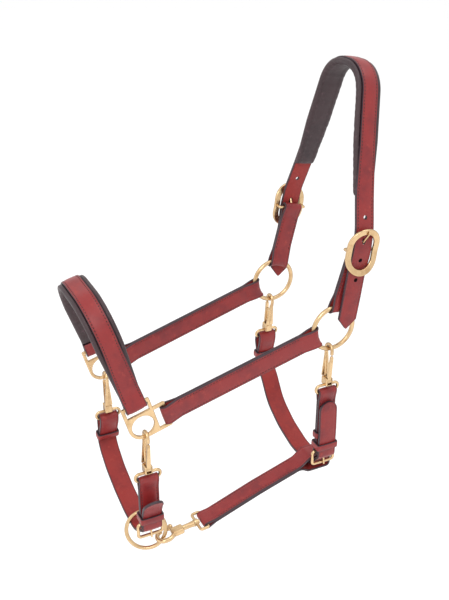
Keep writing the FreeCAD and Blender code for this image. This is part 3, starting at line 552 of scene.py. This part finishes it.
def doubled_strap(node, body, start, end, outwards, eyes, hug=(0.0, 0.0), sewn=True):
    """A doubled strap between two bars; hug lets an eye follow the curve of a round ring."""
    length = (end - start).length
    plane = Plane(start, end - start, outwards)
    points, bends, da, db = doubled_route(length, LAYER, *eyes)
    stops = walk(points, bends)

    def follow(s, total, across, out, point):
        share = (across / STRAP_HALF) ** 2
        if point.x > length - eyes[1]:
            point = point + Vector((hug[1] * share, 0))
        if point.x < eyes[0]:
            point = point - Vector((hug[0] * share, 0))
        return across, out, point

    strap_piece(node, body, stops, plane, band_section(STRAP_HALF, LAYER, 0.25 * MM), follow, closed=True)
    if not sewn:
        return
    along = distances(stops)
    total, half, margin = along[-1], length / 2, 2 * MM
    top = next(s for s, (p, w) in zip(along, stops) if w.x < -0.999 and p.y > 0 and p.x < length - db)
    spans = [(margin, half - db - margin), (top + margin, top + length - da - db - margin),
             (total - half + da + margin, total - margin)]
    stitches("made_" + node + "_stitches", stops, plane, body, LAYER / 2 - STITCH_SUNK, spans)


# ---------------------------------------------------------------- cheek straps and noseband
def cheek_straps():
    """Doubled straps from the squares to the cheek rings."""
    for side, s in (("left", 1), ("right", -1)):
        start = HOLE + X_AXIS * s * SQUARE_HALF_GAP + CHEEK_DIR * SQUARE_FOLD
        end = RING_LINE + X_AXIS * s * RING_HALF_GAP - CHEEK_DIR * RING_RADIUS
        eyes = (SQUARE_EYE, RING_WIRE + CLEAR)
        doubled_strap(side + "_cheek_strap", "headcollar", start, end, X_AXIS * s, eyes, hug=(0.0, RING_SAG))


def padded_section(half, thick):
    """Outline of a padded lining: a roll beside each strap edge and a full, soft inner face."""
    base, roll = SINGLE / 2, 1.7 * MM
    start = STRAP_HALF * OVER_PADDING
    side = [(start + 0.1 * MM, -base - 0.1 * MM), (start + 0.5 * MM, -base + roll * 0.7),
            (start + 1.8 * MM, -base + roll), (half * 0.92, -base + roll * 0.75),
            (half * 0.99, -base - roll * 0.1), (half * 1.01, -base - thick * 0.3),
            (half * 0.97, -base - thick * 0.6), (half * 0.86, -base - thick * 0.86),
            (half * 0.66, -base - thick), (half * 0.52, -base - thick * 0.93),
            (half * 0.34, -base - thick * 0.99)]
    inner = side + [(0.0, -base - thick * 1.02)]
    other = [(-a, h) for a, h in reversed(side)]
    return [(a, h, TOP) for a, h in inner + other] + [(0.0, -base - 0.1 * MM, TOP)]


def soft_wrinkles(lift):
    """Shape for a lining: rounded ends, shallow wrinkles across the inner face and small puckers."""
    def shape(s, total, across, out, point):
        end = min(s, total - s)
        share = min(1.0, end / LINING_END)
        full = math.sqrt(max(0.0, 1 - (1 - share) ** 2)) * 0.75 + 0.25
        base = -SINGLE / 2
        depth = out - base
        if depth < -0.5 * MM:
            ripple = noise.noise(Vector((s * 130, across * 25, lift)))
            pucker = PUCKER_DEPTH * math.cos(2 * math.pi * s / (2 * STITCH_PITCH))
            depth += WRINKLE_DEPTH * ripple + pucker * min(1.0, abs(across) / LINING_HALF)
        depth *= full
        step = min(1.0, end / TAPER)
        narrow = STRAP_HALF / LINING_HALF
        return across * (narrow + (1 - narrow) * step), base + depth, point
    return shape


def lining(node, stops, plane, lift):
    """A padded lining; lift shifts its wrinkles, so that no two are alike."""
    bm = swept(stops, plane, padded_section(LINING_HALF, LINING_THICKNESS), soft_wrinkles(lift))
    for face in bm.faces:
        face.material_index = 0
    piece = object_from(bm, "made_" + node, "headcollar", [PADDING_HIDE], sharp=75.0)
    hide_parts(node)


def narrowed(lined):
    """How much of a strap's width shows at a place along it, being less over its lining."""
    def share(s, total):
        inside = (lined - abs(2 * s - total)) / 2
        step = min(1.0, max(0.0, inside / TAPER))
        return 1.0 - (1.0 - OVER_PADDING) * step
    return share


def mirrored_route(half):
    """A whole arch from the half that ends at its top corner."""
    return half + [(-x, y) for x, y in reversed(half)]


def noseband():
    """Single strap over the nose, folded round the squares' bars, with a lining inside its arch."""
    plane = Plane(HOLE, X_AXIS, BAND_DIR)
    lap = SQUARE_EYE + SINGLE / 2
    x, up = SQUARE_HALF_GAP, SQUARE_FOLD
    slope = (NOSE_TOP_HALF - SQUARE_HALF_GAP) / (NOSE_HEIGHT - SQUARE_FOLD)
    inside = x - SINGLE - 0.2 * MM
    half = [(inside + slope * 13 * MM, up + 14 * MM), (inside - 0.2 * MM, up + 8 * MM), (x - lap, up),
            (x - lap, up - lap), (x + lap, up - lap), (x + lap, up), (x + slope * 14 * MM, up + 15 * MM),
            (NOSE_TOP_HALF, NOSE_HEIGHT)]
    bends = [8 * MM, 5 * MM, lap * 0.99, lap * 0.99, 5 * MM, 14 * MM]
    stops = walk(mirrored_route(half), bends + [NOSE_BEND, NOSE_BEND] + bends[::-1])
    share = (NOSE_LINING_START - up) / (NOSE_HEIGHT - up)
    inner = [(x + (NOSE_TOP_HALF - x) * share, NOSE_LINING_START), (NOSE_TOP_HALF, NOSE_HEIGHT)]
    padded = walk(mirrored_route(inner), [NOSE_BEND, NOSE_BEND])
    squeeze = narrowed(distances(padded)[-1])

    def over_padding(s, total, across, out, point):
        return across * squeeze(s, total), out, point

    strap_piece("noseband_strap", "headcollar", stops, plane, band_section(STRAP_HALF, SINGLE, 0.5 * MM),
                over_padding)
    total = distances(stops)[-1]
    stitches("made_noseband_stitches", stops, plane, "headcollar", SINGLE / 2 - STITCH_SUNK,
             [(NOSE_SEWN_FROM, total - NOSE_SEWN_FROM)], squeeze)
    lining("noseband_lining", padded, plane, 3.0)


# ---------------------------------------------------------------- headpiece
CHAPE_EYE = BAR_RADIUS + FIT + DOUBLE / 2
STRAP_OVER_BAR = BAR_HALF_WIDTH + CHAPE_EYE + 2 * CLEAR + SINGLE / 2
TAIL_HALF = RING_HALF_GAP + RING_WIRE + CLEAR + DOUBLE / 2 + CLEAR + SINGLE / 2
UNDER_FRAME = STRAP_OVER_BAR - 2.4 * MM
HEAD_FOOT = RING_LINE + Y_AXIS * HEAD_BACK


def punched(piece, shafts):
    """Cuts round holes through a strap; each shaft is a start and an end point."""
    bm = bmesh.new()
    for start, end in shafts:
        way = end - start
        turn = way.to_track_quat("Z", "Y").to_matrix().to_4x4()
        bmesh.ops.create_cone(bm, cap_ends=True, segments=20, radius1=PUNCH_RADIUS, radius2=PUNCH_RADIUS,
                              depth=way.length, matrix=Matrix.Translation((start + end) / 2) @ turn)
    for face in bm.faces:
        face.material_index = EDGE
    mesh = bpy.data.meshes.new("punch")
    bm.to_mesh(mesh)
    bm.free()
    for material in STRAP_FINISH:
        mesh.materials.append(material)
    punch = bpy.data.objects.new("punch", mesh)
    bpy.context.scene.collection.objects.link(punch)
    cut = piece.modifiers.new("punched", "BOOLEAN")
    cut.operation = "DIFFERENCE"
    cut.solver = "EXACT"
    cut.object = punch
    graph = bpy.context.evaluated_depsgraph_get()
    result = bpy.data.meshes.new_from_object(piece.evaluated_get(graph))
    piece.modifiers.clear()
    old = piece.data
    piece.data = result
    bpy.data.meshes.remove(old)
    bpy.data.objects.remove(punch)


def headpiece():
    """Single strap over the poll with pointed, punched ends, and a lining inside its arch."""
    plane = Plane(HEAD_FOOT, X_AXIS, HEAD_DIR)
    half = [(TAIL_HALF, HEAD_TIP), (TAIL_HALF, 40 * MM), (UNDER_FRAME, BAR_HEIGHT - OVAL_END),
            (STRAP_OVER_BAR, BAR_HEIGHT), (UNDER_FRAME - 1 * MM, BAR_HEIGHT + OVAL_END), HEAD_SIDE,
            (HEAD_TOP_HALF, HEAD_TOP)]
    bends = [150 * MM, 90 * MM, 60 * MM, 60 * MM, 160 * MM, HEAD_BEND]
    stops = walk(mirrored_route(half), bends + bends[::-1])

    padded = walk(mirrored_route([HEAD_SIDE, (HEAD_TOP_HALF, HEAD_TOP)]), [HEAD_BEND, HEAD_BEND])
    squeeze = narrowed(distances(padded)[-1])

    def pointed(s, total, across, out, point):
        end = min(s, total - s)
        share = min(1.0, 0.07 + 0.93 * end / POINT_LENGTH)
        return across * share * squeeze(s, total), out, point

    strap = strap_piece("headpiece_strap", "headcollar", stops, plane,
                        band_section(STRAP_HALF, SINGLE, 0.5 * MM), pointed)
    shafts = []
    for s in (-1, 1):
        for step in PUNCHES:
            y = BAR_HEIGHT + PUNCH_RISE + step * PUNCH_PITCH
            shafts.append((plane.at((s * (STRAP_OVER_BAR - 12 * MM), y)),
                           plane.at((s * (STRAP_OVER_BAR + 8 * MM), y))))
    for side in ("left", "right"):
        low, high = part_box(side + "_headpiece_buckle_tongue")
        s = 1 if side == "left" else -1
        start = plane.at((s * BAR_HALF_WIDTH, BAR_HEIGHT))
        tip = Vector((high.x if s > 0 else low.x, high.y, high.z))
        tip.y = start.y + (tip.z - start.z) * math.tan(HEAD_LEAN)
        shafts.append((start, tip))
    punched(strap, shafts)
    total = distances(stops)[-1]
    stitches("made_headpiece_stitches", stops, plane, "headcollar", SINGLE / 2 - STITCH_SUNK,
             [(HEAD_SEWN_FROM, total - HEAD_SEWN_FROM)], squeeze)
    lining("headpiece_lining", padded, plane, 7.0)


def buckle_chapes():
    """Doubled straps from the cheek rings up to the oval buckles' bars."""
    for side, s in (("left", 1), ("right", -1)):
        bar = HEAD_FOOT + HEAD_DIR * BAR_HEIGHT - RING_LINE
        upward = bar.normalized()
        start = RING_LINE + X_AXIS * s * RING_HALF_GAP + upward * RING_RADIUS
        end = RING_LINE + bar + X_AXIS * s * BAR_HALF_WIDTH
        eyes = (RING_WIRE + CLEAR, BAR_RADIUS + FIT)
        doubled_strap(side + "_buckle_chape", "headcollar", start, end, X_AXIS * s, eyes, hug=(RING_SAG, 0.0))


# ---------------------------------------------------------------- throat, chin and jaw
def upright(y):
    """Plane of a strap that runs across the head: values are X and Z from the ring line."""
    return Plane(RING_LINE + Y_AXIS * y, X_AXIS, Z_AXIS)


def near_chape(node, body, half_gap, y, eye_z, heel):
    """Doubled strap from a near snap's eye down to a buckle's heel bar."""
    plane = upright(y)
    start, end = plane.at((half_gap, eye_z)), plane.at((half_gap, heel))
    doubled_strap(node, body, start, end, X_AXIS, (EYE_WIRE + FIT, BAR_RADIUS + FIT))


def tail_half(half_gap):
    """Distance from the middle of a free end that lies flat on a doubled strap."""
    return half_gap + DOUBLE / 2 + CLEAR + SINGLE / 2


def over_heel(half_gap):
    """Distance from the middle of a strap that passes over a chape's lower eye."""
    return half_gap + CHAPE_EYE + CLEAR + SINGLE / 2


def far_fold(bar, keeper_at):
    """The strap's far end: up inside, round the snap's eye and down outside past its keeper."""
    gap = SINGLE / 2 + FIT / 2
    k, b = Vector(keeper_at), Vector(bar)
    up = (b - k).normalized()
    side = Vector((-up.y, up.x))
    wrap = EYE_WIRE + FIT + SINGLE / 2
    points = [k - side * gap - up * 9 * MM, k - side * gap, b - side * wrap * 1.3 - up * 6 * MM,
              b - side * wrap + up * wrap, b + side * wrap + up * wrap, b + side * wrap * 1.9 - up * 9 * MM,
              k + side * gap, k + side * gap - up * 16 * MM]
    bends = [20 * MM, 30 * MM, wrap * 0.98, wrap * 0.98, 12 * MM, 20 * MM, 15 * MM]
    return [tuple(p) for p in points], bends


def keeper(node, body, centre, along, outwards, thickness):
    """A leather loop round the straps that it holds down."""
    plane = Plane(centre, outwards.cross(along), outwards)
    w = STRAP_HALF + CLEAR + KEEPER_LEATHER / 2
    t = (thickness + 2 * CLEAR + KEEPER_LEATHER) / 2
    points = [(0, -t), (w, -t), (w, t), (-w, t), (-w, -t), (0, -t)]
    stops = walk(points, [1.6 * MM] * 4)

    def bowed(s, total, across, out, point):
        lift = 0.35 * MM * math.cos(point.x / w * math.pi / 2) if point.y > t * 0.8 else 0.0
        return across, out + lift, point

    section = band_section(KEEPER_LENGTH / 2, KEEPER_LEATHER, 0.25 * MM, grooved=False)
    return strap_piece(node, body, stops, plane, section, bowed, closed=True)


def heel_keeper(node, body, plane, half_gap, heel):
    """The keeper round a chape and a strap's free end, just above the buckle's heel bar."""
    inner, outer = half_gap - DOUBLE / 2 - KEEPER_FLARE, over_heel(half_gap) + SINGLE / 2
    centre = plane.at(((inner + outer) / 2, heel + HEEL_KEEPER_RISE))
    keeper(node, body, centre, Z_AXIS, X_AXIS, outer - inner)


def rounded_end(s, total, across, out, point):
    """Narrows the last stretch of a strap to a half-round tip."""
    left = total - s
    if left < STRAP_HALF:
        across *= max(0.06, math.sqrt(max(0.0, 1 - (1 - left / STRAP_HALF) ** 2)))
    return across, out, point


def tongue_shaft(plane, half_gap, heel):
    """Line of a buckle tongue, for the hole that it passes through."""
    tip = (half_gap + BAR_RADIUS + CLEAR + 1.4 * MM, heel - BUCKLE_HEIGHT - 1 * MM)
    return plane.at((half_gap, heel)), plane.at(tip)


def scaled(points):
    """Points given in millimetres, in metres."""
    return [(x * MM, z * MM) for x, z in points]


def throat():
    """Throat strap with its chape and keepers, folded round the far snap's eye."""
    plane = upright(THROAT_Y)
    grip = -math.sqrt(RING_RADIUS ** 2 - THROAT_Y ** 2)
    eye_z = grip - SNAP_REACH
    half = RING_HALF_GAP
    near_chape("throat_chape", "throat", half, THROAT_Y, eye_z, THROAT_HEEL)
    bar = (-half - SNAP_REACH * math.sin(THROAT_SNAP_LEAN), grip - SNAP_REACH * math.cos(THROAT_SNAP_LEAN))
    keeper_at = (bar[0] - 2.5 * MM, bar[1] - 24 * MM)
    fold, bends = far_fold(bar, keeper_at)
    low = THROAT_HEEL - HEEL_DROP
    route = fold + scaled([(-71, -150), (-52, -178), (-20, -196.5), (15, -207), (56, -208)])
    route += [(67.8 * MM, low - 4.8 * MM), (over_heel(half), THROAT_HEEL - 4.5 * MM),
              (over_heel(half), THROAT_HEEL + 36 * MM), (tail_half(half) + CLEAR, THROAT_TAIL_TOP)]
    bends += [b * MM for b in (60, 60, 80, 60, 20, 8, 6, 60)]
    stops = walk(route, bends)
    section = band_section(STRAP_HALF, SINGLE, 0.3 * MM)
    strap = strap_piece("throat_strap", "throat", stops, plane, section, rounded_end)
    punched(strap, [tongue_shaft(plane, half, THROAT_HEEL)])
    heel_keeper("throat_keeper", "throat", plane, half, THROAT_HEEL)
    centre = plane.at((half, THROAT_HEEL + LOOSE_KEEPER_RISE))
    keeper("throat_loose_keeper", "throat_loose_loop", centre, Z_AXIS, X_AXIS, DOUBLE)
    fold_keeper("throat_strap_keeper", "throat_fold_loop", plane, bar, keeper_at)


def fold_keeper(node, body, plane, bar, keeper_at):
    """The keeper that holds a strap's far fold together."""
    up = (Vector(bar) - Vector(keeper_at)).normalized()
    centre = plane.at(Vector(keeper_at) - up * FOLD_KEEPER)
    rise = plane.first * up.x + plane.second * up.y
    keeper(node, body, centre, rise, Y_AXIS.cross(rise), 2 * (SINGLE + FIT) + CLEAR)


def chin():
    """Chin strap with its chape and keepers, folded round the far snap's eye."""
    grip = (HOLE - RING_LINE).z - math.sqrt(SQUARE_GRIP ** 2 - CHIN_BACK ** 2)
    y = (HOLE - RING_LINE).y + CHIN_BACK
    plane = upright(y)
    eye_z = grip - SNAP_REACH
    half = SQUARE_HALF_GAP
    near_chape("chin_chape", "chin", half, y, eye_z, CHIN_HEEL)
    bar = (-half, eye_z)
    keeper_at = (bar[0] - 7.5 * MM, bar[1] - 26 * MM)
    fold, bends = far_fold(bar, keeper_at)
    low = CHIN_HEEL - HEEL_DROP
    route = fold + scaled([(-76.5, -199), (-55, -215.5), (-24, -228), (10, -236.5), (45, -237.7)])
    heel_x = over_heel(half)
    route += [(62.5 * MM, low), (heel_x, CHIN_HEEL - 4.5 * MM), (heel_x, CHIN_HEEL + 18 * MM),
              (heel_x + CHIN_CURL * 0.3, CHIN_HEEL + 30 * MM), (heel_x + CHIN_CURL, CHIN_TAIL_TOP)]
    bends += [b * MM for b in (20, 60, 60, 80, 30, 10, 6, 20, 20)]
    stops = walk(route, bends)
    section = band_section(STRAP_HALF, SINGLE, 0.3 * MM)
    strap = strap_piece("chin_strap", "chin", stops, plane, section, rounded_end)
    punched(strap, [tongue_shaft(plane, half, CHIN_HEEL)])
    heel_keeper("chin_keeper", "chin", plane, half, CHIN_HEEL)
    fold_keeper("chin_strap_keeper", "chin_fold_loop", plane, bar, keeper_at)


def jaw_strap():
    """Doubled strap from its loop round the throat strap to the swivel eye of the jaw snap."""
    plane = Plane(RING_LINE + X_AXIS * JAW_HALF_GAP, Y_AXIS, Z_AXIS)
    y, z = THROAT_Y, THROAT_HEEL - JAW_DROP
    reach, rise = STRAP_HALF + JAW_REACH, JAW_LOOP / 2
    h = LAYER / 2 + LAYER_GAP
    wrap = EYE_WIRE + FIT + LAYER / 2
    front = Vector((y - reach - 9 * MM, z - 2 * MM))
    eye = Vector((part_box("jaw_strap")[0].y - RING_LINE.y + EYE_WIRE + FIT + DOUBLE / 2,
                  middle("jaw_snap_eye").z - RING_LINE.z))
    way = (eye - JAW_SAG).normalized()
    side = Vector((-way.y, way.x))
    lower, upper = (-side, side) if side.y > 0 else (side, -side)
    start = JAW_SAG + lower * h
    loop = [Vector((y - reach + 2 * MM, z - rise)), Vector((y + reach, z - rise)),
            Vector((y + reach, z + rise)), Vector((y - reach + 4 * MM, z + rise))]
    near_eye, throat_of_eye = eye - way * 0.3 * wrap, eye - way * 3.2 * wrap
    points = [start, front + Vector((0, -h)), *loop, front + Vector((0, h)), JAW_SAG + upper * h,
              throat_of_eye + upper * h, near_eye + upper * wrap, eye + way * wrap + upper * wrap,
              eye + way * wrap + lower * wrap, near_eye + lower * wrap, throat_of_eye + lower * h, start]
    bends = [b * MM for b in (14, 8, 4.4, 4.4, 8, 14, 200, 8, 5)] + [wrap * 0.99] * 2 + [5 * MM, 8 * MM]
    stops = walk([tuple(p) for p in points], bends)
    strap_piece("jaw_strap", "jaw", stops, plane, band_section(STRAP_HALF, LAYER, 0.25 * MM), closed=True)
    along = distances(stops)
    rear_run, front_run = (front - start).length, (eye - JAW_SAG).length
    top = next(s for s, (p, w) in zip(along, stops)
               if s > rear_run + 20 * MM and w.x < -0.5 and p.x < front.x - 4 * MM)
    top_run = (front - JAW_SAG).length + front_run - 22 * MM
    spans = [(3 * MM, rear_run - 4 * MM), (top, top + top_run),
             (along[-1] - front_run + 14 * MM, along[-1] - 2 * MM)]
    stitches("made_jaw_strap_stitches", stops, plane, "jaw", LAYER / 2 - STITCH_SUNK, spans)


# ---------------------------------------------------------------- brass fittings from the frame
def brass_fittings():
    """Gives the metal nodes of the frame, which stay as they are, their finish."""
    for name, node in NODES.items():
        if node.hide_render:
            continue
        node.data.materials.clear()
        node.data.materials.append(STEEL if name.endswith("_spring") else BRASS)


# ---------------------------------------------------------------- stage
CAMERA_REACH = Vector((0.838631, -0.514248, 0.494001))
CAMERA_TURN, CAMERA_RISE = math.radians(64.18), math.radians(26.61)
LENS = 51.75
FLOOR_HALF = 25.0
FLOOR_DROP = 0.25                # gap between the lowest piece and the floor
WHITE = (1.0, 1.0, 1.0, 1.0)
LAMPS = (                        # name, place from the object's middle, size, power
    ("key", (1.1, -0.9, 1.4), 0.9, 11.0),
    ("fill", (-0.6, -1.6, 0.5), 1.4, 3.0),
    ("top", (0.2, 0.6, 1.7), 1.0, 8.0))


def area_light(name, place, target, size, power):
    """A round area lamp that faces its target."""
    lamp = bpy.data.lights.new(name, "AREA")
    lamp.shape = "DISK"
    lamp.size = size
    lamp.energy = power
    lit = bpy.data.objects.new(name, lamp)
    lit.location = place
    lit.rotation_mode = "QUATERNION"
    lit.rotation_quaternion = (target - place).to_track_quat("-Z", "Y")
    bpy.context.scene.collection.objects.link(lit)


def stage():
    """Floor, white world, lamps and camera."""
    scene = bpy.context.scene
    scene.view_settings.view_transform = "Standard"
    low, high = CAD_BOX
    centre = (low + high) / 2
    bm = bmesh.new()
    bmesh.ops.create_grid(bm, x_segments=2, y_segments=2, size=FLOOR_HALF)
    mesh = bpy.data.meshes.new("floor")
    bm.to_mesh(mesh)
    bm.free()
    made, _, _ = finish("pale_floor", Base_Color=WHITE, Roughness=0.9)
    mesh.materials.append(made)
    floor = bpy.data.objects.new("floor", mesh)
    floor.location = (0, 0, low.z - FLOOR_DROP)
    scene.collection.objects.link(floor)
    world = bpy.data.worlds.new("soft_white")
    world.use_nodes = True
    sky = world.node_tree.nodes["Background"]
    sky.inputs["Color"].default_value = WHITE
    sky.inputs["Strength"].default_value = 1.0
    scene.world = world
    for name, place, size, power in LAMPS:
        area_light(name, centre + Vector(place), centre, size, power)
    lens = bpy.data.cameras.new("camera")
    lens.lens = LENS
    lens.clip_start = 0.01
    camera = bpy.data.objects.new("camera", lens)
    back = Vector((math.sin(CAMERA_TURN) * math.cos(CAMERA_RISE),
                   -math.cos(CAMERA_TURN) * math.cos(CAMERA_RISE), math.sin(CAMERA_RISE)))
    camera.location = RING_LINE + CAMERA_REACH
    camera.rotation_mode = "QUATERNION"
    camera.rotation_quaternion = (-back).to_track_quat("-Z", "Y")
    scene.collection.objects.link(camera)
    scene.camera = camera


# ---------------------------------------------------------------- the whole headcollar
cheek_straps()
noseband()
headpiece()
buckle_chapes()
throat()
chin()
jaw_strap()
brass_fittings()
stage()
bpy.context.view_layer.update()
